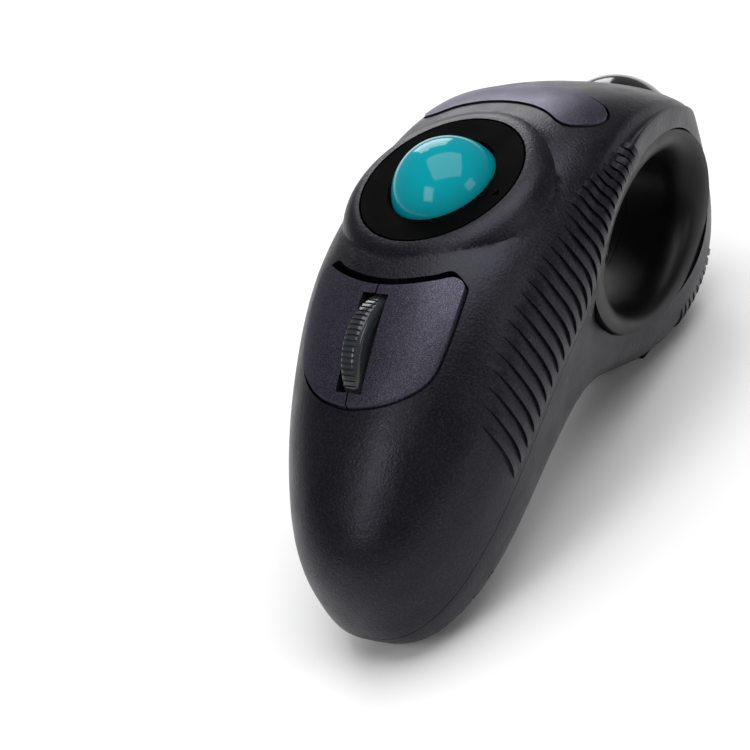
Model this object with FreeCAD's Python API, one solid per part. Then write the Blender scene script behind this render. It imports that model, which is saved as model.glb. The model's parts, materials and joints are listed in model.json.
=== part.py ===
import FreeCAD, Part
import math
import os

# Handheld finger trackball, millimetres.
# Everything is built about the ball: x across, y towards the nose, z up from the flat face of
# the ball's retainer.  save() then tilts and lifts each piece so that the mouse stands on its
# pads on z = 0, with the middle of its length and width over the origin.

os.makedirs("parts", exist_ok=True)
V = FreeCAD.Vector
X_AXIS = V(1, 0, 0)
Y_AXIS = V(0, 1, 0)
Z_AXIS = V(0, 0, 1)
ORIGIN = V(0, 0, 0)

# how it stands: nose up by this angle, ball's axis this far ahead of the middle
REST_TILT = 7.0
REST_Y = -0.1
REST_Z = 51.35
PAD_NOSE_Y = 25.2
PAD_TAIL_Y = -39.5

WALL = 1.8
GAP = 0.35
FAR = 80.0

# ball and its plate
BALL_R = 8.5
BALL_Z = -2.9
PLATE_R = 12.75
PLATE_T = 1.6
RECESS_R = 13.1
ISLAND_SLOPE = [(RECESS_R, 0.0), (14.6, -0.4), (16.0, -1.5), (17.2, -3.6), (17.8, -6.4)]
ISLAND_FOOT = -9.0
MOUTH_R = 8.35
SOCKET_R = 9.1
SOCKET_WALL = 1.5
BEARING_R = 1.0
BEARING_DROP = 38.0
CORE_R = 4.0
FLANGE_TOP = -1.95
MARK_R = 11.2
MARK_AT = 100.0
MARK_DEEP = 0.3
RUN = 0.05

# finger hole: an oval tube across the nose, opening into a leaning oval rim on both sides
HOLE_Y = 21.5
HOLE_Z = -30.0
TUBE_LONG = 13.4
TUBE_SHORT = 9.6
RIM_Y = 20.1
RIM_Z = -28.2
RIM_LONG = 20.1
RIM_SHORT = 13.9
RIM_TURN = -21.0
RIM_X = 14.6
RIM_TOE = -0.087
RIM_SPLAY = 0.16
FLARE_DEEP = 5.5
LINER_T = 1.7
LINER_FREE = 0.3
RIM_EDGE = 0.5

# scroll wheel, leaning back with the top of the mouse
WHEEL_R = 9.5
WHEEL_W = 3.4
WHEEL_Y = -25.2
WHEEL_Z = -11.6
AXLE_R = 1.2
TYRE_INNER = 7.4
NOTCHES = 72
NOTCH_W = 0.34
NOTCH_DEEP = 0.25
TYRE_ROUND = 1.2

# main buttons
BUTTON_FRONT = 20.2
BUTTON_WELL_FRONT = 19.25
BUTTON_SPLIT = 0.2
BUTTON_T = 1.4
BUTTON_PROUD = 0.45
BOARD_TOP = -17.2
SWITCH_Y = -20.0
SWITCH_TOP = -11.9
LASER_SWITCH_Y = 20.5
LASER_SWITCH_TOP = -7.2
KEY_FREE = 0.8
CRESCENT_LOW = -15.0
TRUNNION_Y = -31.0
TRUNNION_Z = -13.0
TRUNNION_R = 1.0

# cells and their door
CELL_R = 5.25
CELL_L = 44.5
CELL_X = 5.6
CELL_Z = -30.6
CELL_BACK = -43.0
DOOR_HALF = 11.4
DOOR_FRONT = -1.5
DOOR_PIN_Y = -38.6
DOOR_PIN_Z = -41.6
DOOR_SWEEP = 3.6
DOOR_SWING_ROOM = 4.4
DOOR_PIN_R = 1.0
SCREW_Y = -49.4
SEAM = 0.12

# nose cap over the laser
DOME_R = 9.9
DOME_T = 1.5
DOME_Y = 36.6
DOME_Z = -25.3
DOME_BASE = 4.0
LASER_R = 2.0
LASER_Z = -16.5

# trigger
TRIGGER_PIN_Y = 7.3
TRIGGER_PIN_Z = -21.7
TRIGGER_PIN_R = 0.8
TRIGGER_HALF = 5.0

# body sections from tail to nose:
# y, top, widest level, belly, upper half width, lower half width, roundness of the top
STATIONS = [
    (-54.6, -34.2, -35.6, -37.0, 0.8, 0.8, 2.0),
    (-53.9, -29.4, -35.2, -40.4, 4.9, 4.8, 2.1),
    (-51.2, -23.8, -33.8, -43.8, 9.2, 8.8, 2.2),
    (-45.5, -17.6, -31.5, -45.4, 13.2, 12.4, 2.2),
    (-37.5, -11.2, -28.4, -45.0, 16.5, 15.0, 2.25),
    (-28.0, -5.6, -24.5, -42.6, 18.9, 16.6, 2.35),
    (-16.0, -1.0, -20.0, -40.2, 20.4, 17.0, 2.6),
    (-4.0, -0.0, -16.5, -40.6, 20.9, 16.4, 2.8),
    (6.0, -0.0, -13.5, -46.0, 20.6, 14.8, 2.8),
    (14.0, -0.8, -12.0, -51.0, 19.8, 14.1, 2.7),
    (22.0, -3.2, -12.0, -53.6, 18.6, 14.0, 2.5),
    (30.0, -8.0, -14.8, -53.6, 16.9, 13.6, 2.35),
    (37.0, -14.0, -19.4, -50.8, 14.7, 12.1, 2.2),
    (42.2, -20.2, -25.0, -45.6, 11.8, 9.8, 2.15),
    (45.4, -26.2, -29.6, -39.4, 7.4, 6.4, 2.1),
    (46.4, -31.0, -32.0, -33.6, 1.2, 1.2, 2.0),
]
BELLY_ROUNDNESS = 3.2
SHOULDER_DROP = 7.0
QUARTER = 8
HORN_STEPS = 9
HORN_POINTS = 16
HORN_START = 0.05
HORN_OUT = 25.0

# where the two shells meet, seen from the side
PARTING = [(-70, -43.5), (-56, -40.5), (-44, -36.5), (-30, -29.5), (-16, -23.4), (-6, -21.4),
           (0, -22.6), (6, -27), (14, -30.5), (24, -32), (40, -32.5), (60, -32)]

# ribs down each flank: the line of their top ends, the line of their feet, and their spacing
RIB_TOPS = [(-60, -30), (-30, -17.3), (-26.5, -14.4), (-22, -11.5), (-16, -8.6), (-7, -6.4),
            (2.5, -5.2), (8, -5.5), (13, -6.8), (19, -8.6), (60, -16)]
RIB_ENDS = [(-60, -36), (-30, -28.4), (-16, -22.4), (-6, -20.4), (0, -20.0), (4, -14.5), (9, -12.0),
            (14, -12.2), (20, -13.6), (60, -20)]
RIB_FIRST_Y = 18.0
RIB_LAST_Y = -31.0
RIB_PITCH_FRONT = 1.45
RIB_PITCH_BACK = 2.15
RIB_WIDTH = 1.05
RIB_HEIGHT = 0.5
RIB_ROOT = 0.8
RIB_RISE = [-0.15, 0.8, 1.0, 1.0, 0.9, -0.3]

# short ribs across the underside of the nose, turned about the finger hole's middle
LOOP_RIB_ANGLES = [-52 - 4 * i for i in range(9)]
LOOP_RIB_RISE = [(-10.5, -0.2), (-8.5, 0.4), (-4.0, 0.5), (0.0, 0.5), (4.0, 0.5), (8.5, 0.4),
                 (10.5, -0.2)]


# ---------------------------------------------------------------- small helpers
def box(x0, x1, y0, y1, z0, z1):
    return Part.makeBox(x1 - x0, y1 - y0, z1 - z0, V(x0, y0, z0))


def pair_box(x0, x1, y0, y1, z0, z1):
    return [box(x0, x1, y0, y1, z0, z1), box(-x1, -x0, y0, y1, z0, z1)]


def rod(radius, length, base, axis):
    return Part.makeCylinder(radius, length, base, axis)


def cross_rod(radius, half, y, z):
    return rod(radius, 2 * half, V(-half, y, z), X_AXIS)


def fused(shapes):
    return shapes[0].fuse(shapes[1:]).removeSplitter()


def mirrored(shape):
    return shape.mirror(ORIGIN, X_AXIS)


def turned(points, axis=Z_AXIS, base=ORIGIN):
    """Solid of revolution of an (r, z) outline."""
    corners = [V(r, 0, z) for r, z in points]
    face = Part.Face(Part.makePolygon(corners + [corners[0]]))
    return face.revolve(base, axis, 360)


def level(table, y):
    """Straight-line reading of a (y, z) table."""
    for (y0, z0), (y1, z1) in zip(table, table[1:]):
        if y <= y1:
            return z0 + (z1 - z0) * (y - y0) / (y1 - y0)
    return table[-1][1]


def closed_curve(points):
    curve = Part.BSplineCurve()
    count = len(points)
    knots = [i / count for i in range(count + 1)]
    curve.interpolate(Points=points, PeriodicFlag=True, Parameters=knots)
    return Part.Wire(curve.toShape())


def save(name, shape):
    placed = shape.copy()
    placed.rotate(ORIGIN, X_AXIS, REST_TILT)
    placed.translate(V(0, REST_Y, REST_Z))
    placed.exportStep("parts/" + name + ".step")


# ---------------------------------------------------------------- the body's outer form
def half_section(top, wide, belly, upper, lower, roundness):
    """Right-hand outline (x, z) from the top to the belly."""
    outline = []
    for i in range(QUARTER + 1):
        a = math.pi / 2 * (1 - i / QUARTER)
        x = upper * max(math.cos(a), 0.0) ** (2 / roundness)
        outline.append((x, wide + (top - wide) * math.sin(a) ** (2 / roundness)))
    for i in range(1, QUARTER + 1):
        a = math.pi / 2 * i / QUARTER
        across = max(math.cos(a), 0.0) ** (2 / BELLY_ROUNDNESS)
        z = wide + (belly - wide) * math.sin(a) ** (2 / BELLY_ROUNDNESS)
        shoulder = (upper - lower) * math.exp(-((wide - z) / SHOULDER_DROP) ** 2)
        outline.append((lower * across + shoulder * across ** 0.3, z))
    return outline


def body(inset):
    """The whole outer form as one solid, drawn in by inset."""
    first_y, last_y = STATIONS[0][0], STATIONS[-1][0]
    middle = (first_y + last_y) / 2
    shrink = 1 - 2 * inset / (last_y - first_y)
    wires = []
    for y, top, wide, belly, upper, lower, roundness in STATIONS:
        depth = min(inset, 0.4 * (top - wide))
        rise = min(inset, 0.4 * (wide - belly))
        narrow = min(inset, 0.5 * upper)
        waist = lower - min(inset, 0.5 * lower)
        half = half_section(top - depth, wide, belly + rise, upper - narrow, waist, roundness)
        ring = half + [(-x, z) for x, z in reversed(half[1:-1])]
        wires.append(closed_curve([V(x, middle + (y - middle) * shrink, z) for x, z in ring]))
    return Part.makeLoft(wires, True, False)


def above_parting(drop):
    """Everything above the line where the shells meet."""
    line = Part.BSplineCurve()
    line.interpolate([V(-FAR / 2, y, z - drop) for y, z in PARTING])
    (y0, z0), (y1, z1) = PARTING[0], PARTING[-1]
    a, b = V(-FAR / 2, y0, z0 - drop), V(-FAR / 2, y1, z1 - drop)
    c, d = V(-FAR / 2, y1, FAR), V(-FAR / 2, y0, FAR)
    sides = [Part.makeLine(b, c), Part.makeLine(c, d), Part.makeLine(d, a)]
    return Part.Face(Part.Wire([line.toShape()] + sides)).extrude(V(FAR, 0, 0))


def rim_level(y, z):
    """How far out the finger hole's rim lies on the right-hand side."""
    return RIM_X + RIM_TOE * (y - RIM_Y) + RIM_SPLAY * (z - RIM_Z)


def horn_oval(long_half, short_half, share, x_of):
    """Closed oval of the finger hole, share of the way from its tube to its rim."""
    middle_y = HOLE_Y + (RIM_Y - HOLE_Y) * share
    middle_z = HOLE_Z + (RIM_Z - HOLE_Z) * share
    turn = math.radians(RIM_TURN * share)
    oval = []
    for i in range(HORN_POINTS):
        a = -2 * math.pi * i / HORN_POINTS
        u, v = long_half * math.cos(a), short_half * math.sin(a)
        y = middle_y + u * math.cos(turn) - v * math.sin(turn)
        z = middle_z + u * math.sin(turn) + v * math.cos(turn)
        oval.append(V(x_of(y, z), y, z))
    return closed_curve(oval)


def horn_wires(side, extra, edge, back, out):
    """Ovals from the middle of the finger hole out to one side.

    extra widens the tube and edge the rim; back sinks the flare; out is where the last oval ends.
    """
    tube = [TUBE_LONG + extra, TUBE_SHORT + extra, 0.0]
    wires = [horn_oval(*tube, lambda y, z: side * HORN_START)]
    for step in range(HORN_STEPS + 1):
        bend = math.pi / 2 * step / HORN_STEPS
        share, sunk = 1 - math.cos(bend), FLARE_DEEP * (1 - math.sin(bend)) + back
        grow = extra + (edge - extra) * share
        long_half = TUBE_LONG + (RIM_LONG - TUBE_LONG) * share + grow
        short_half = TUBE_SHORT + (RIM_SHORT - TUBE_SHORT) * share + grow
        wires.append(horn_oval(long_half, short_half, share, lambda y, z: side * (rim_level(y, z) - sunk)))
    wires.append(horn_oval(long_half, short_half, 1.0, lambda y, z: side * (rim_level(y, z) + out)))
    return wires


def horn(extra, edge, back, out):
    """Right half of the finger hole as a solid: straight tube, flare, then a straight band."""
    return Part.makeLoft(horn_wires(1, extra, edge, back, out), True, True)


def whole_horn(extra, edge, back, out):
    """The finger hole from rim to rim."""
    left = horn_wires(-1, extra, edge, back, out)[1:]
    right = horn_wires(1, extra, edge, back, out)[1:]
    return Part.makeLoft(left[::-1] + right, True, True)


def island():
    """Rounded ground round the ball's plate."""
    profile = Part.BSplineCurve()
    slope = [V(r, 0, z) for r, z in ISLAND_SLOPE]
    profile.interpolate(slope)
    corners = [slope[-1], V(slope[-1].x, 0, ISLAND_FOOT), V(0, 0, ISLAND_FOOT), ORIGIN, slope[0]]
    lines = [Part.makeLine(p, q) for p, q in zip(corners, corners[1:])]
    return Part.Face(Part.Wire([profile.toShape()] + lines)).revolve(ORIGIN, Z_AXIS, 360)


def polar(radius, degrees):
    a = math.radians(degrees)
    return (radius * math.sin(a), radius * math.cos(a))


def grown(points, by):
    """Closed outline pushed outwards by a distance; points run clockwise seen from above."""
    out = []
    count = len(points)
    for i, (x, y) in enumerate(points):
        ax, ay = points[i - 1]
        bx, by_ = points[(i + 1) % count]
        dx, dy = bx - ax, by_ - ay
        size = math.hypot(dx, dy)
        out.append((x - dy / size * by, y + dx / size * by))
    return out


def column(points, low, high):
    wire = closed_curve([V(x, y, low) for x, y in points])
    return Part.Face(wire).extrude(V(0, 0, high - low))


def symmetric(right):
    """Closed outline from its right half, listed from the middle round to the middle."""
    return right + [(-x, y) for x, y in reversed(right[1:-1])]


def button_outline(front):
    """Both buttons together, from a front arc round the ball to the curved back edge."""
    right = [polar(front, a) for a in (180, 171, 162, 153, 147)]
    right += [(12.2, -16.9), (12.75, -17.25), (12.97, -17.9), (12.95, -20.4), (12.8, -23.2), (12.4, -26.2), (11.9, -28.7)]
    right += [(11.0, -30.7), (9.0, -33.0), (5.8, -35.1), (2.6, -36.1), (0.0, -36.4)]
    return symmetric(right)


CRESCENT_RIGHT = [polar(26.4, a) for a in (0, 9, 18, 27, 33)]
CRESCENT_RIGHT += [polar(25.2, 38.5), polar(22.6, 41.5), polar(20.2, 40.5)]
CRESCENT_RIGHT += [polar(19.1, a) for a in (35, 27, 18, 9, 0)]


# ---------------------------------------------------------------- shells
outer = body(0.0)
inner = body(WALL)

buttons_hole = column(grown(button_outline(BUTTON_WELL_FRONT), GAP), -30, 10)
crescent_hole = column(grown(symmetric(CRESCENT_RIGHT), GAP), CRESCENT_LOW, 10)
dome_outer = Part.makeSphere(DOME_R, V(0, DOME_Y, DOME_Z))
dome_hole = Part.makeSphere(DOME_R + GAP, V(0, DOME_Y, DOME_Z))
liner_room = whole_horn(LINER_T + LINER_FREE, RIM_EDGE + LINER_FREE, LINER_T + LINER_FREE, HORN_OUT)

socket_room = rod(RECESS_R, 40, V(0, 0, -16), Z_AXIS)
hollow = outer.fuse(island()).cut(inner)
door_block = box(-DOOR_HALF, DOOR_HALF, DOOR_PIN_Y, DOOR_FRONT, -FAR, -33)
door_block = door_block.fuse(cross_rod(DOOR_SWEEP, DOOR_HALF, DOOR_PIN_Y, DOOR_PIN_Z))
door_room = box(-DOOR_HALF - GAP, DOOR_HALF + GAP, DOOR_PIN_Y, DOOR_FRONT + GAP, -FAR, -33)
door_room = door_room.fuse(cross_rod(DOOR_SWING_ROOM, DOOR_HALF + GAP, DOOR_PIN_Y, DOOR_PIN_Z))
slider_room = box(-30, -13, -24.0, -17.4, -31.6, -28.4)
screw_post = rod(2.4, 60, V(0, SCREW_Y, -60), Z_AXIS).common(outer)
screw = rod(1.2, 14, V(0, SCREW_Y, -42), Z_AXIS).fuse(rod(2.0, 1.6, V(0, SCREW_Y, -43.2), Z_AXIS))
head_well = rod(2.0, 20, V(0, SCREW_Y, -63.2), Z_AXIS)

shells = hollow.cut([buttons_hole, crescent_hole, dome_hole, liner_room, socket_room])

def reach_x(y, z):
    """Half width of the outer form at a point of its side view."""
    return Part.makeLine(V(0, y, z), V(FAR, y, z)).common(outer).BoundBox.XMax


def fin(crest, root, across, width):
    """Upright plate between a smooth crest and its root, width thick."""
    ridge = Part.BSplineCurve()
    ridge.interpolate(crest)
    edges = [ridge.toShape(), Part.makeLine(crest[-1], root[-1])]
    edges += [Part.makeLine(p, q) for p, q in zip(root[::-1], root[-2::-1])]
    edges.append(Part.makeLine(root[0], crest[0]))
    plate = Part.Face(Part.Wire(edges)).extrude(across * width)
    plate.translate(across * (-width / 2))
    return plate


def rib(y):
    """One fin that rises out of the flank and sinks back into it."""
    top, foot = level(RIB_TOPS, y), level(RIB_ENDS, y)
    crest, root = [], []
    for step, share in enumerate(RIB_RISE):
        z = top + (foot - top) * step / (len(RIB_RISE) - 1)
        side = reach_x(y, z)
        crest.append(V(side + RIB_HEIGHT * share, y, z))
        root.append(V(side - RIB_ROOT, y, z))
    return fin(crest, root, Y_AXIS, RIB_WIDTH)


def loop_rib(degrees):
    """One fin across the underside of the nose, on a plane through the finger hole."""
    a = math.radians(degrees)
    outward, along = V(0, math.cos(a), math.sin(a)), V(0, -math.sin(a), math.cos(a))
    crest, root = [], []
    for x, share in LOOP_RIB_RISE:
        start = V(x, HOLE_Y, HOLE_Z)
        skin = Part.makeLine(start, start + outward * FAR).common(outer).Vertexes
        far = max(v.Point.distanceToPoint(start) for v in skin)
        crest.append(start + outward * (far + share))
        root.append(start + outward * (far - RIB_ROOT))
    return fin(crest, root, along, RIB_WIDTH * 0.8)


right_ribs = []
rib_y = RIB_FIRST_Y
while rib_y > RIB_LAST_Y:
    right_ribs.append(rib(rib_y))
    back = (RIB_FIRST_Y - rib_y) / (RIB_FIRST_Y - RIB_LAST_Y)
    rib_y -= RIB_PITCH_FRONT + (RIB_PITCH_BACK - RIB_PITCH_FRONT) * min(2 * back, 1.0)
flank_ribs = right_ribs + [mirrored(r) for r in right_ribs]
loop_ribs = [loop_rib(angle) for angle in LOOP_RIB_ANGLES]

cased = shells.fuse(screw_post).cut([screw, head_well])
save("upper_shell", cased.common(above_parting(0.0)).fuse(flank_ribs))
lower_part = cased.cut(above_parting(SEAM))
brackets = []
for x in (4.0, -5.6):
    brackets.append(box(x, x + 1.6, DOOR_PIN_Y - 1.3, DOOR_PIN_Y + 1.3, DOOR_PIN_Z, -36.3))
    brackets.append(rod(1.3, 1.6, V(x, DOOR_PIN_Y, DOOR_PIN_Z), X_AXIS))
    brackets.append(box(x, x + 1.6, DOOR_PIN_Y - 7.0, DOOR_PIN_Y, -37.6, -36.3))
    brackets.append(box(x, x + 1.6, DOOR_PIN_Y - 7.0, DOOR_PIN_Y - 5.2, -FAR, -36.3).common(body(WALL / 2)))
pin_bore = cross_rod(DOOR_PIN_R, 20, DOOR_PIN_Y, DOOR_PIN_Z)
lower_shell = lower_part.cut([door_room, slider_room]).fuse(brackets + loop_ribs).cut(pin_bore)
save("lower_shell", lower_shell)
save("shell_screw", screw)
save("door_pin", cross_rod(DOOR_PIN_R, 5.8, DOOR_PIN_Y, DOOR_PIN_Z))

door_lugs = []
for x in (1.8, -3.7):
    lug = box(x, x + 1.9, DOOR_PIN_Y - 1.8, DOOR_PIN_Y + 1.8, -FAR, DOOR_PIN_Z)
    door_lugs.append(lug.common(body(WALL / 2)))
    door_lugs.append(rod(1.8, 1.9, V(x, DOOR_PIN_Y, DOOR_PIN_Z), X_AXIS))
door = lower_part.common(door_block).fuse(door_lugs)
save("battery_door", door.cut(cross_rod(DOOR_PIN_R + RUN, 20, DOOR_PIN_Y, DOOR_PIN_Z)))

# ---------------------------------------------------------------- finger ring liners
trigger_window = box(-TRIGGER_HALF - GAP, TRIGGER_HALF + GAP, 0, HOLE_Y, -38.2, -22.4)
ear = box(TRIGGER_HALF + 0.6, TRIGGER_HALF + 2.0, 5.9, 12.7, -23.4, -20.0)
bell = horn(LINER_T, RIM_EDGE, LINER_T, 0.0)
liner = bell.fuse(ear).cut([horn(0.0, 0.0, 0.0, 1.0), trigger_window])
liner = liner.cut(cross_rod(TRIGGER_PIN_R, 20, TRIGGER_PIN_Y, TRIGGER_PIN_Z))
save("ring_liner_right", liner)
save("ring_liner_left", mirrored(liner))

# ---------------------------------------------------------------- trigger
pad_face = [(12.6, -24.2), (11.6, -27.0), (11.3, -30.2), (11.9, -33.4), (13.2, -36.0)]
pad_back = [(9.4, -36.4), (6.6, -34.2), (5.6, -30.2), (5.7, -25.8)]
pad_top = [(5.8, -22.4), (7.1, -20.5), (8.7, -21.4), (10.6, -23.0)]
loop = [V(-TRIGGER_HALF, y, z) for y, z in pad_face + pad_back + pad_top]
trigger = Part.Face(closed_curve(loop)).extrude(V(2 * TRIGGER_HALF, 0, 0))
save("trigger", trigger.cut(cross_rod(TRIGGER_PIN_R + RUN, 20, TRIGGER_PIN_Y, TRIGGER_PIN_Z)))
save("trigger_pin", cross_rod(TRIGGER_PIN_R, TRIGGER_HALF + 2.0, TRIGGER_PIN_Y, TRIGGER_PIN_Z))

# ---------------------------------------------------------------- ball, its plate and its cup
plate = turned([(8.6, 0), (PLATE_R, 0), (PLATE_R, -PLATE_T), (8.85, -PLATE_T), (MOUTH_R, -0.3)])
mark_x, mark_y = polar(MARK_R, MARK_AT)
corners = [V(mark_x + x, mark_y + y, -MARK_DEEP) for x, y in ((-0.7, -0.5), (0.7, -0.5), (0, 0.7))]
mark = Part.Face(Part.makePolygon(corners + [corners[0]]))
save("ball_retainer", plate.cut(mark.extrude(V(0, 0, 2))))

ball_at = V(0, 0, BALL_Z)
cup = Part.makeSphere(SOCKET_R + SOCKET_WALL, ball_at).cut(box(-20, 20, -20, 20, FLANGE_TOP, 20))
cup = cup.fuse(rod(RECESS_R - 0.15, 1.6, V(0, 0, FLANGE_TOP - 1.6), Z_AXIS))
cup = cup.cut([Part.makeSphere(SOCKET_R, ball_at), rod(3.0, 20, V(0, 0, -20), Z_AXIS)])
bearings = []
for turn in (90, 210, 330):
    a, b = math.radians(turn), math.radians(BEARING_DROP)
    reach = BALL_R + RUN + BEARING_R
    level_reach = reach * math.cos(b)
    spot = V(level_reach * math.cos(a), level_reach * math.sin(a), BALL_Z - reach * math.sin(b))
    bearings.append(Part.makeSphere(BEARING_R, spot))
save("ball_socket", cup.cut(bearings))
save("support_bearings", Part.makeCompound(bearings))
save("trackball", Part.makeSphere(BALL_R, ball_at).cut(Part.makeSphere(CORE_R + RUN, ball_at)))
save("trackball_core", Part.makeSphere(CORE_R, ball_at))

# ---------------------------------------------------------------- main buttons
wheel_well = cross_rod(WHEEL_R + 0.6, WHEEL_W / 2 + 0.6, WHEEL_Y, WHEEL_Z)
keys = body(-BUTTON_PROUD).cut(body(BUTTON_T)).common(column(button_outline(BUTTON_FRONT), -30, 10))
keys = keys.cut(wheel_well)
key = keys.common(box(BUTTON_SPLIT / 2 + 0.05, 30, -FAR, 0, -FAR, FAR))
post = rod(1.3, 8.0, V(9.0, SWITCH_Y, SWITCH_TOP + KEY_FREE), Z_AXIS).common(body(BUTTON_T / 2))
lug = box(4.7, 6.2, TRUNNION_Y - 1.5, TRUNNION_Y + 1.5, TRUNNION_Z, -5).common(body(BUTTON_T / 2))
lug = lug.fuse([rod(1.5, 1.5, V(4.7, TRUNNION_Y, TRUNNION_Z), X_AXIS),
                rod(TRUNNION_R, 4.1, V(3.4, TRUNNION_Y, TRUNNION_Z), X_AXIS)])
key = key.fuse([post, lug])
save("right_button", key)
save("left_button", mirrored(key))
near, far = TRUNNION_Y - 1.6, TRUNNION_Y + 1.6
posts = [box(x, x + 1.0, near, far, BOARD_TOP, TRUNNION_Z + 1.6) for x in (3.4, 6.5)]
bracket = fused(posts + [box(4.4, 6.5, near, far, BOARD_TOP, BOARD_TOP + 0.8)])
bracket = bracket.cut(cross_rod(TRUNNION_R + RUN, 20, TRUNNION_Y, TRUNNION_Z))
save("button_brackets", Part.makeCompound([bracket, mirrored(bracket)]))

# ---------------------------------------------------------------- crescent button
sickle = body(-0.25).cut(body(BUTTON_T)).common(column(symmetric(CRESCENT_RIGHT), CRESCENT_LOW, 10))
stem = rod(1.3, 8.0, V(0, LASER_SWITCH_Y, LASER_SWITCH_TOP + KEY_FREE), Z_AXIS).common(body(BUTTON_T / 2))
save("crescent_button", sickle.fuse(stem))

# ---------------------------------------------------------------- nose cap and laser
tilted = box(-20, 20, -20, 20, DOME_BASE, 40)
tilted.rotate(ORIGIN, X_AXIS, -45)
tilted.translate(V(0, DOME_Y, DOME_Z))
cap = dome_outer.cut(Part.makeSphere(DOME_R - DOME_T, V(0, DOME_Y, DOME_Z))).common(tilted)
save("nose_cap", cap)
laser = rod(LASER_R, 7.6, V(0, 25.2, LASER_Z), Y_AXIS)
save("laser_module", laser.cut(rod(LASER_R / 2, 2.0, V(0, 31.6, LASER_Z), Y_AXIS)))

# ---------------------------------------------------------------- scroll wheel
tyre = cross_rod(WHEEL_R, WHEEL_W / 2, WHEEL_Y, WHEEL_Z)
tyre = tyre.makeFillet(TYRE_ROUND, [e for e in tyre.Edges if e.Length > WHEEL_R])
tyre = tyre.cut(cross_rod(TYRE_INNER, 10, WHEEL_Y, WHEEL_Z))
notches = []
for i in range(NOTCHES):
    notch = box(-WHEEL_W, WHEEL_W, WHEEL_Y - NOTCH_W / 2, WHEEL_Y + NOTCH_W / 2,
                WHEEL_Z + WHEEL_R - NOTCH_DEEP, WHEEL_Z + WHEEL_R + 2)
    notch.rotate(V(0, WHEEL_Y, WHEEL_Z), X_AXIS, 360.0 / NOTCHES * i)
    notches.append(notch)
save("scroll_tyre", tyre.cut(notches))
hub = cross_rod(TYRE_INNER, WHEEL_W / 2 - 0.2, WHEEL_Y, WHEEL_Z)
hub = hub.cut(cross_rod(TYRE_INNER - 1.4, 10, WHEEL_Y, WHEEL_Z))
hub = hub.fuse([cross_rod(TYRE_INNER - 1.0, 0.6, WHEEL_Y, WHEEL_Z),
                cross_rod(2.2, WHEEL_W / 2, WHEEL_Y, WHEEL_Z)])
save("scroll_hub", hub.cut(cross_rod(AXLE_R, 20, WHEEL_Y, WHEEL_Z)))
save("wheel_axle", cross_rod(AXLE_R, 6.2, WHEEL_Y, WHEEL_Z))
cheeks = pair_box(3.2, 4.6, WHEEL_Y - 3, WHEEL_Y + 3, -24.2, WHEEL_Z + 2.4)
carrier = cheeks[0].fuse([cheeks[1], box(-4.6, 4.6, WHEEL_Y - 3, WHEEL_Y + 3, -24.2, -23.2),
                          box(4.6, 7.8, WHEEL_Y - 2.4, WHEEL_Y + 0.6, -14.4, -13.2)])
save("wheel_carrier", carrier.cut(cross_rod(AXLE_R + RUN, 20, WHEEL_Y, WHEEL_Z)))
encoder = box(-7.4, -4.6, WHEEL_Y - 2.8, WHEEL_Y + 2.8, -15.0, WHEEL_Z + 2.2)
save("wheel_encoder", encoder.cut(cross_rod(AXLE_R + RUN, 20, WHEEL_Y, WHEEL_Z)))

# ---------------------------------------------------------------- boards, switches, sensor
board = box(-11.5, 11.5, -37, 6.5, BOARD_TOP - 1.6, BOARD_TOP)
board = board.cut([box(-3.0, 3.0, -34, -16, -30, 0), box(-8.0, 5.2, -28.8, -20, -30, 0)])
save("main_board", board.common(body(WALL + 0.6)))
save("front_board", box(-8, 8, 14.5, 25, -11.2, -10.0))


def switch(x, y, foot, length, height):
    """Tactile switch: square case with a short round plunger."""
    case = box(x - length / 2, x + length / 2, y - 1.6, y + 1.6, foot, foot + height)
    return case.fuse(rod(0.8, 0.3, V(x, y, foot + height), Z_AXIS))


tall = SWITCH_TOP - BOARD_TOP - 0.3
save("button_switches", Part.makeCompound([switch(x, SWITCH_Y, BOARD_TOP, 4.4, tall) for x in (9.0, -9.6)]))
save("wheel_switch", switch(6.9, WHEEL_Y - 0.9, BOARD_TOP, 2.6, 1.9))
save("laser_switch", switch(0, LASER_SWITCH_Y, -10.0, 5.0, LASER_SWITCH_TOP + 9.7))
trigger_switch = box(-3, 3, 2.2, 3.4, -33, -28).fuse(rod(0.8, 0.4, V(0, 3.4, -30.5), Y_AXIS))
save("trigger_switch", trigger_switch)
save("optical_sensor", box(-4.5, 4.5, -4.5, 4.5, BOARD_TOP, BOARD_TOP + 1.5))
lens = box(-4, 4, -4, 4, BOARD_TOP + 1.5, BOARD_TOP + 2.7)
save("sensor_lens", lens.fuse(rod(2.4, 0.9, V(0, 0, BOARD_TOP + 2.7), Z_AXIS)))

# ---------------------------------------------------------------- cells and contacts
cells = []
for x in (CELL_X, -CELL_X):
    start = CELL_BACK if x > 0 else CELL_BACK + CELL_L
    way = Y_AXIS if x > 0 else Y_AXIS * -1
    can = rod(CELL_R, CELL_L - 1.0, V(x, start, CELL_Z), way)
    cells.append(can.fuse(rod(1.9, 1.0, V(x, start, CELL_Z) + way * (CELL_L - 1.0), way)))
save("cells", Part.makeCompound(cells))
front = CELL_BACK + CELL_L
save("contact_plates", Part.makeCompound([box(-10, 10, front, front + 0.4, -34, -27),
                                          box(-9, 9, CELL_BACK - 3.2, CELL_BACK - 2.8, -33, -27.5)]))
leaf = [(0, -2.2), (-1.9, -0.3), (-1.9, 0.3), (0, 2.2), (0, 1.75), (-1.5, 0.2), (-1.5, -0.2), (0, -1.75)]
leaf_at = [V(-1.5, CELL_BACK - 0.3 + y, CELL_Z + z) for y, z in leaf]
strip = Part.Face(Part.makePolygon(leaf_at + [leaf_at[0]])).extrude(V(3, 0, 0))
springs = [strip.translated(V(x, 0, 0)) for x in (CELL_X, -CELL_X)]
save("contact_springs", Part.makeCompound(springs))

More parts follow.
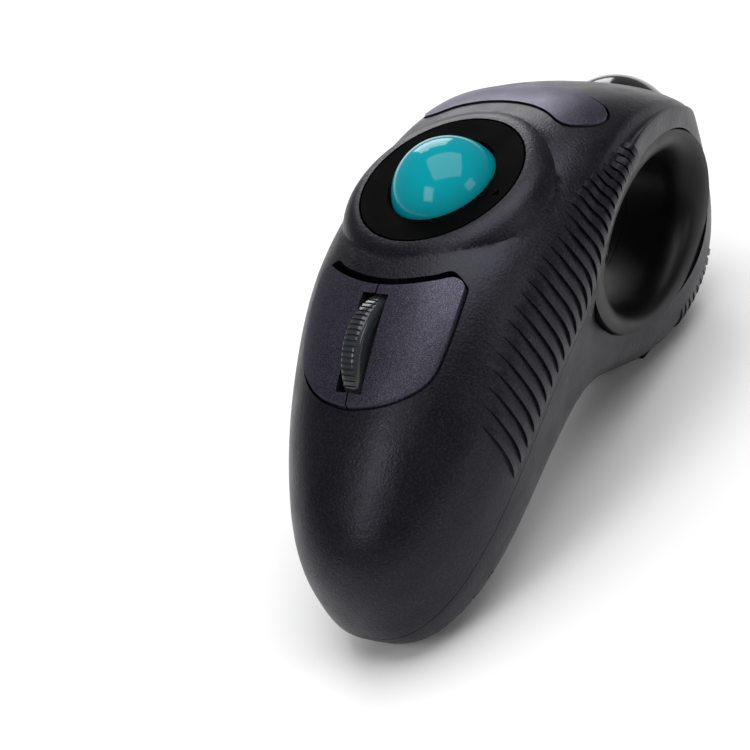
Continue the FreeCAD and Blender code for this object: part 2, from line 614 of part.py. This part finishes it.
# ---------------------------------------------------------------- power switch, receiver, pads
save("power_switch", box(-13.9, -11.7, -23.6, -17.8, -31.8, -28.2))
knob = box(-17.6, -14.25, -23.6, -20.4, -31.2, -28.8)
save("power_slider", knob)
receiver = box(-6, 6, -15.5, -2.5, -24.4, -20.0).fuse(box(-6, 6, -2.5, 2.5, -24.2, -20.2))
save("usb_receiver", receiver)


def pad(x, y, half_x, half_y):
    """Rest pad from the floor up to the casing, drawn as the mouse stands."""
    block = box(x - half_x, x + half_x, y - half_y, y + half_y, 0, 8)
    block.translate(V(0, -REST_Y, -REST_Z))
    block.rotate(ORIGIN, X_AXIS, -REST_TILT)
    return min(block.cut(outer).Solids, key=lambda solid: solid.CenterOfMass.z)


save("nose_pad", pad(0, PAD_NOSE_Y, 4.0, 1.8))
save("tail_pads", Part.makeCompound([pad(x, PAD_TAIL_Y, 1.5, 1.5) for x in (4.0, -4.0)]))
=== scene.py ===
import json
import math

import bmesh
import bpy
from mathutils import Matrix, Vector

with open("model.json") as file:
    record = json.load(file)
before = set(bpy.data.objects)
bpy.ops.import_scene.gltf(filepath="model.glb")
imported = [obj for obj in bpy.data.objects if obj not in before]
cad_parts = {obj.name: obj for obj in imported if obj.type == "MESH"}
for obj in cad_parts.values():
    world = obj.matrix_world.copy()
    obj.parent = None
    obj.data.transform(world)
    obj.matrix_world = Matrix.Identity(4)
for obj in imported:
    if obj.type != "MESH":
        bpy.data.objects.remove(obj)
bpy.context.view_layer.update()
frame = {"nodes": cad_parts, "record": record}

scene = bpy.context.scene
scene.view_settings.view_transform = "Standard"

# ---------------------------------------------------------------- materials
# A noise rarely leaves this range, so colours and roughness are spread over it.
NOISE_LOW = 0.3
NOISE_HIGH = 0.7
# Pointiness from which an edge starts to look worn, and where the wear is full.
EDGE_FROM = 0.52
EDGE_TO = 0.60
WEAR = 0.35
CLOUD_SCALE = 60.0
PATCH_SCALE = 220.0
ROUGH_SPREAD = 0.05
FLECK_FADE = 0.12
RIPPLE = 0.00001
COAT_ROUGH = 0.03
PLASTIC_IOR = 1.45


def new_material(name):
    """A material with one shader; also gives the object-space coordinate socket, in metres."""
    mat = bpy.data.materials.new(name)
    mat.use_nodes = True
    tree = mat.node_tree
    tree.nodes.clear()
    out = tree.nodes.new("ShaderNodeOutputMaterial")
    shader = tree.nodes.new("ShaderNodeBsdfPrincipled")
    tree.links.new(shader.outputs["BSDF"], out.inputs["Surface"])
    place = tree.nodes.new("ShaderNodeTexCoord")
    return mat, tree, shader, place.outputs["Object"]


def noise(tree, where, scale, detail=2.0, rough=0.5):
    """Soft random pattern from 0 to 1, with scale waves to the metre."""
    node = tree.nodes.new("ShaderNodeTexNoise")
    node.inputs["Scale"].default_value = scale
    node.inputs["Detail"].default_value = detail
    node.inputs["Roughness"].default_value = rough
    tree.links.new(where, node.inputs["Vector"])
    return node.outputs["Fac"]


def ramp(tree, fac, stops):
    """Colour along a list of (position, colour) stops."""
    node = tree.nodes.new("ShaderNodeValToRGB")
    while len(node.color_ramp.elements) > 1:
        node.color_ramp.elements.remove(node.color_ramp.elements[-1])
    for i, (pos, col) in enumerate(stops):
        e = node.color_ramp.elements[0] if i == 0 else node.color_ramp.elements.new(pos)
        e.position = pos
        e.color = (*col, 1.0)
    tree.links.new(fac, node.inputs["Fac"])
    return node.outputs["Color"]


def span(tree, fac, low, high):
    """Spreads the middle of a noise over the range low to high."""
    node = tree.nodes.new("ShaderNodeMapRange")
    node.inputs["From Min"].default_value = NOISE_LOW
    node.inputs["From Max"].default_value = NOISE_HIGH
    node.inputs["To Min"].default_value = low
    node.inputs["To Max"].default_value = high
    tree.links.new(fac, node.inputs["Value"])
    return node.outputs["Result"]


def mix_colour(tree, fac, a, b):
    """Colour a where fac is 0, colour b where it is 1."""
    node = tree.nodes.new("ShaderNodeMix")
    node.data_type = "RGBA"
    tree.links.new(fac, node.inputs["Factor"])
    tree.links.new(a, node.inputs["A"])
    tree.links.new(b, node.inputs["B"])
    return node.outputs["Result"]


def bump(tree, shader, height, distance, strength):
    """Relief of the given depth in metres, from a height pattern."""
    node = tree.nodes.new("ShaderNodeBump")
    node.inputs["Distance"].default_value = distance
    node.inputs["Strength"].default_value = strength
    tree.links.new(height, node.inputs["Height"])
    tree.links.new(node.outputs["Normal"], shader.inputs["Normal"])


def scaled(colour, by):
    """The colour made lighter or darker."""
    return tuple(min(c * by, 1.0) for c in colour)


def edge_wear(tree, colour, worn):
    """Lightens convex edges a little."""
    geo = tree.nodes.new("ShaderNodeNewGeometry")
    sharp = ramp(tree, geo.outputs["Pointiness"], [(EDGE_FROM, (0, 0, 0)), (EDGE_TO, (WEAR, WEAR, WEAR))])
    tone = tree.nodes.new("ShaderNodeRGB")
    tone.outputs[0].default_value = (*worn, 1)
    return mix_colour(tree, sharp, colour, tone.outputs[0])


def moulded(name, base, fleck, rough, grain=2600.0, depth=0.00002, metallic=0.0, fleck_from=0.60,
            tint=None, worn=None, gleam=0.3):
    """Textured moulded plastic: cloudy base, fine grain and small light flecks."""
    mat, tree, shader, where = new_material(name)
    cloud = noise(tree, where, CLOUD_SCALE, 3.0)
    colour = ramp(tree, cloud, [(0.35, scaled(base, 0.82)), (0.65, scaled(base, 1.2))])
    fine = noise(tree, where, grain * 1.6, 2.0, 0.7)
    flecks = ramp(tree, fine, [(fleck_from, (0, 0, 0)), (fleck_from + FLECK_FADE, (1, 1, 1))])
    shades = [(NOISE_LOW, fleck), (NOISE_HIGH, scaled(fleck, 0.6))]
    tone = ramp(tree, noise(tree, where, grain * 0.7, 1.0), shades)
    colour = mix_colour(tree, flecks, colour, tone)
    if worn is not None:
        colour = edge_wear(tree, colour, worn)
    tree.links.new(colour, shader.inputs["Base Color"])
    patches = noise(tree, where, PATCH_SCALE, 3.0)
    rough_map = span(tree, patches, rough - ROUGH_SPREAD, rough + ROUGH_SPREAD)
    tree.links.new(rough_map, shader.inputs["Roughness"])
    shader.inputs["Metallic"].default_value = metallic
    shader.inputs["Specular IOR Level"].default_value = gleam
    if tint is not None:
        shader.inputs["Specular Tint"].default_value = (*tint, 1)
    bump(tree, shader, noise(tree, where, grain, 2.0, 0.6), depth, 0.6)
    return mat


def glossy(name, base, rough, coat=0.0, gleam=0.5):
    """Polished plastic or resin with faint moulding ripples and fine scuffs."""
    mat, tree, shader, where = new_material(name)
    shades = [(NOISE_LOW, scaled(base, 0.9)), (NOISE_HIGH, scaled(base, 1.1))]
    tree.links.new(ramp(tree, noise(tree, where, 90.0, 2.0), shades), shader.inputs["Base Color"])
    scuffs = noise(tree, where, 500.0, 4.0)
    tree.links.new(span(tree, scuffs, rough * 0.8, rough * 1.3), shader.inputs["Roughness"])
    shader.inputs["Specular IOR Level"].default_value = gleam
    shader.inputs["Coat Weight"].default_value = coat
    shader.inputs["Coat Roughness"].default_value = COAT_ROUGH
    bump(tree, shader, noise(tree, where, 300.0, 1.0), RIPPLE, 0.3)
    return mat


def metal(name, base, rough):
    """Bare metal, slightly stained and brushed."""
    mat, tree, shader, where = new_material(name)
    shades = [(NOISE_LOW, scaled(base, 0.8)), (NOISE_HIGH, base)]
    tree.links.new(ramp(tree, noise(tree, where, 400.0, 3.0), shades), shader.inputs["Base Color"])
    scuffs = noise(tree, where, 900.0, 3.0)
    tree.links.new(span(tree, scuffs, rough - 0.08, rough + 0.08), shader.inputs["Roughness"])
    shader.inputs["Metallic"].default_value = 1.0
    bump(tree, shader, noise(tree, where, 3000.0, 2.0), RIPPLE, 0.3)
    return mat


def clear(name, tint, rough, through):
    """Plastic that lets some light through."""
    mat, tree, shader, where = new_material(name)
    shades = [(NOISE_LOW, scaled(tint, 0.9)), (NOISE_HIGH, tint)]
    tree.links.new(ramp(tree, noise(tree, where, 200.0, 2.0), shades), shader.inputs["Base Color"])
    scuffs = noise(tree, where, 600.0, 2.0)
    tree.links.new(span(tree, scuffs, rough * 0.7, rough * 1.4), shader.inputs["Roughness"])
    shader.inputs["Transmission Weight"].default_value = through
    shader.inputs["IOR"].default_value = PLASTIC_IOR
    bump(tree, shader, noise(tree, where, 400.0, 1.0), RIPPLE, 0.3)
    return mat


# Each moulded plastic: name, base colour, fleck colour, roughness.
SHELL = moulded("shell_black", (0.0005, 0.0005, 0.0007), (0.0105, 0.0098, 0.0175), 0.37,
                grain=2300.0, depth=0.00011, fleck_from=0.50, tint=(0.84, 0.83, 1.0),
                worn=(0.005, 0.005, 0.007), gleam=0.30)
BUTTON = moulded("button_sheen", (0.012, 0.011, 0.017), (0.100, 0.093, 0.136), 0.35,
                 grain=5200.0, metallic=0.55, fleck_from=0.48, tint=(0.86, 0.82, 1.0), gleam=0.6)
PLATE = moulded("plate_matte", (0.0006, 0.0006, 0.0007), (0.002, 0.002, 0.0022), 0.78,
                grain=3200.0, gleam=0.03)
LINER = moulded("liner_satin", (0.0022, 0.0022, 0.0025), (0.004, 0.004, 0.0045), 0.40,
                grain=900.0, depth=0.00001, gleam=0.2)
TRIGGER = moulded("trigger_grey", (0.010, 0.010, 0.011), (0.016, 0.016, 0.018), 0.42)
INNER = moulded("inner_black", (0.004, 0.004, 0.004), (0.008, 0.008, 0.008), 0.6, gleam=0.1)
CASE = moulded("switch_black", (0.02, 0.02, 0.02), (0.03, 0.03, 0.03), 0.5)
RUBBER = moulded("pad_rubber", (0.012, 0.012, 0.012), (0.025, 0.025, 0.025), 0.8,
                 grain=1800.0, gleam=0.1)
BOARD = moulded("board_green", (0.01, 0.07, 0.03), (0.02, 0.11, 0.05), 0.4, grain=700.0)
HUB = moulded("hub_grey", (0.03, 0.03, 0.032), (0.045, 0.045, 0.05), 0.45)
# Polished plastic: name, base colour, roughness.
DOME = glossy("dome_black", (0.004, 0.004, 0.005), 0.14, coat=0.25)
BALL = glossy("ball_teal", (0.0, 0.255, 0.305), 0.09, gleam=0.22)
# Clear plastic: name, tint, roughness, share of the light that goes through.
TYRE = clear("tyre_smoke", (0.035, 0.037, 0.042), 0.15, 0.25)
LENS = clear("lens_clear", (0.9, 0.93, 0.93), 0.05, 0.9)
STEEL = metal("steel", (0.6, 0.6, 0.61), 0.3)
CELL = glossy("cell_jacket", (0.03, 0.05, 0.12), 0.25, coat=0.3)
WHITE = glossy("ceramic_white", (0.75, 0.75, 0.72), 0.15)

FINISH = {
    "shell_black": SHELL, "button_black": BUTTON, "plate_black": PLATE, "liner_grey": LINER,
    "dome_black": DOME, "ball_teal": BALL, "inner_black": INNER, "tyre_clear": TYRE, "hub_grey": HUB,
    "steel": STEEL, "board_green": BOARD, "switch_black": CASE, "lens_clear": LENS,
    "cell_jacket": CELL, "pad_rubber": RUBBER, "trigger_grey": TRIGGER, "ceramic_white": WHITE,
}
slot_of = {s["node"]: s["material_slot"] for s in frame["record"]["subparts"]}
# Faces that meet at more than this keep a crisp edge; the rest are shaded smooth.
SHARP = math.radians(32.0)
SAME_POINT = 0.0000005
for node, obj in frame["nodes"].items():
    obj.data.materials.clear()
    obj.data.materials.append(FINISH[slot_of[node]])
    obj.data.shade_smooth()
    weld = obj.modifiers.new("weld", "WELD")
    weld.merge_threshold = SAME_POINT
    crease = obj.modifiers.new("crease", "EDGE_SPLIT")
    crease.split_angle = SHARP


# ---------------------------------------------------------------- floor, light, camera
FLOOR_HALF = 3.0
FLOOR_DARK = (0.88, 0.88, 0.88)
FLOOR_LIGHT = (0.92, 0.92, 0.92)
FLOOR_ROUGH = 0.9
WORLD_LIGHT = 0.21
SENSOR_MM = 36.0
FOCAL_MM = 165.26
NEAR_CLIP = 0.01


def area(name, place, target, size, power, size_y=None):
    """A soft rectangular lamp at a place, facing a target; metres and watts."""
    data = bpy.data.lights.new(name, "AREA")
    data.energy = power
    data.shape = "RECTANGLE"
    data.size = size
    data.size_y = size_y or size
    lamp = bpy.data.objects.new(name, data)
    scene.collection.objects.link(lamp)
    lamp.location = place
    lamp.rotation_euler = (Vector(target) - Vector(place)).to_track_quat("-Z", "Y").to_euler()


def make_floor():
    """Pale matt floor, far wider than the view."""
    mesh = bpy.data.meshes.new("studio_floor")
    work = bmesh.new()
    bmesh.ops.create_grid(work, x_segments=8, y_segments=8, size=FLOOR_HALF)
    work.to_mesh(mesh)
    work.free()
    floor = bpy.data.objects.new("studio_floor", mesh)
    scene.collection.objects.link(floor)
    mat, tree, shader, where = new_material("floor_pale")
    shades = [(NOISE_LOW, FLOOR_DARK), (NOISE_HIGH, FLOOR_LIGHT)]
    tree.links.new(ramp(tree, noise(tree, where, 2.0, 2.0), shades), shader.inputs["Base Color"])
    shader.inputs["Roughness"].default_value = FLOOR_ROUGH
    mesh.materials.append(mat)


make_floor()

world = bpy.data.worlds.new("studio")
scene.world = world
world.use_nodes = True
world.node_tree.nodes["Background"].inputs["Color"].default_value = (1, 1, 1, 1)
world.node_tree.nodes["Background"].inputs["Strength"].default_value = WORLD_LIGHT

# A broad lamp above, one behind the nose, and two small ones that show as windows in the ball.
area("key", (0.12, 0.10, 0.82), (0, 0, 0.03), 0.85, 7.6)
area("rim", (-0.47, 0.52, 0.34), (0, 0, 0.04), 0.40, 2.2)
area("window", (-0.06, -0.60, 0.46), (0, 0, 0.05), 0.24, 1.3, size_y=0.34)
area("side", (0.70, 0.05, 0.34), (0, 0, 0.05), 0.28, 0.6, size_y=0.20)

# The camera's place, and the directions of its right, top and back.
CAMERA_AT = Vector((0.3021, -0.31286, 0.29938))
CAMERA_RIGHT = Vector((0.7836, 0.5306, -0.3251))
CAMERA_UP = Vector((-0.0939, 0.6180, 0.7801))
CAMERA_BACK = Vector((0.6142, -0.5797, 0.5342))
camera_data = bpy.data.cameras.new("camera")
camera_data.sensor_width = SENSOR_MM
camera_data.lens = FOCAL_MM
camera_data.clip_start = NEAR_CLIP
camera = bpy.data.objects.new("camera", camera_data)
scene.collection.objects.link(camera)
turn = Matrix((CAMERA_RIGHT, CAMERA_UP, CAMERA_BACK)).transposed()
camera.matrix_world = Matrix.Translation(CAMERA_AT) @ turn.to_4x4()
scene.camera = camera
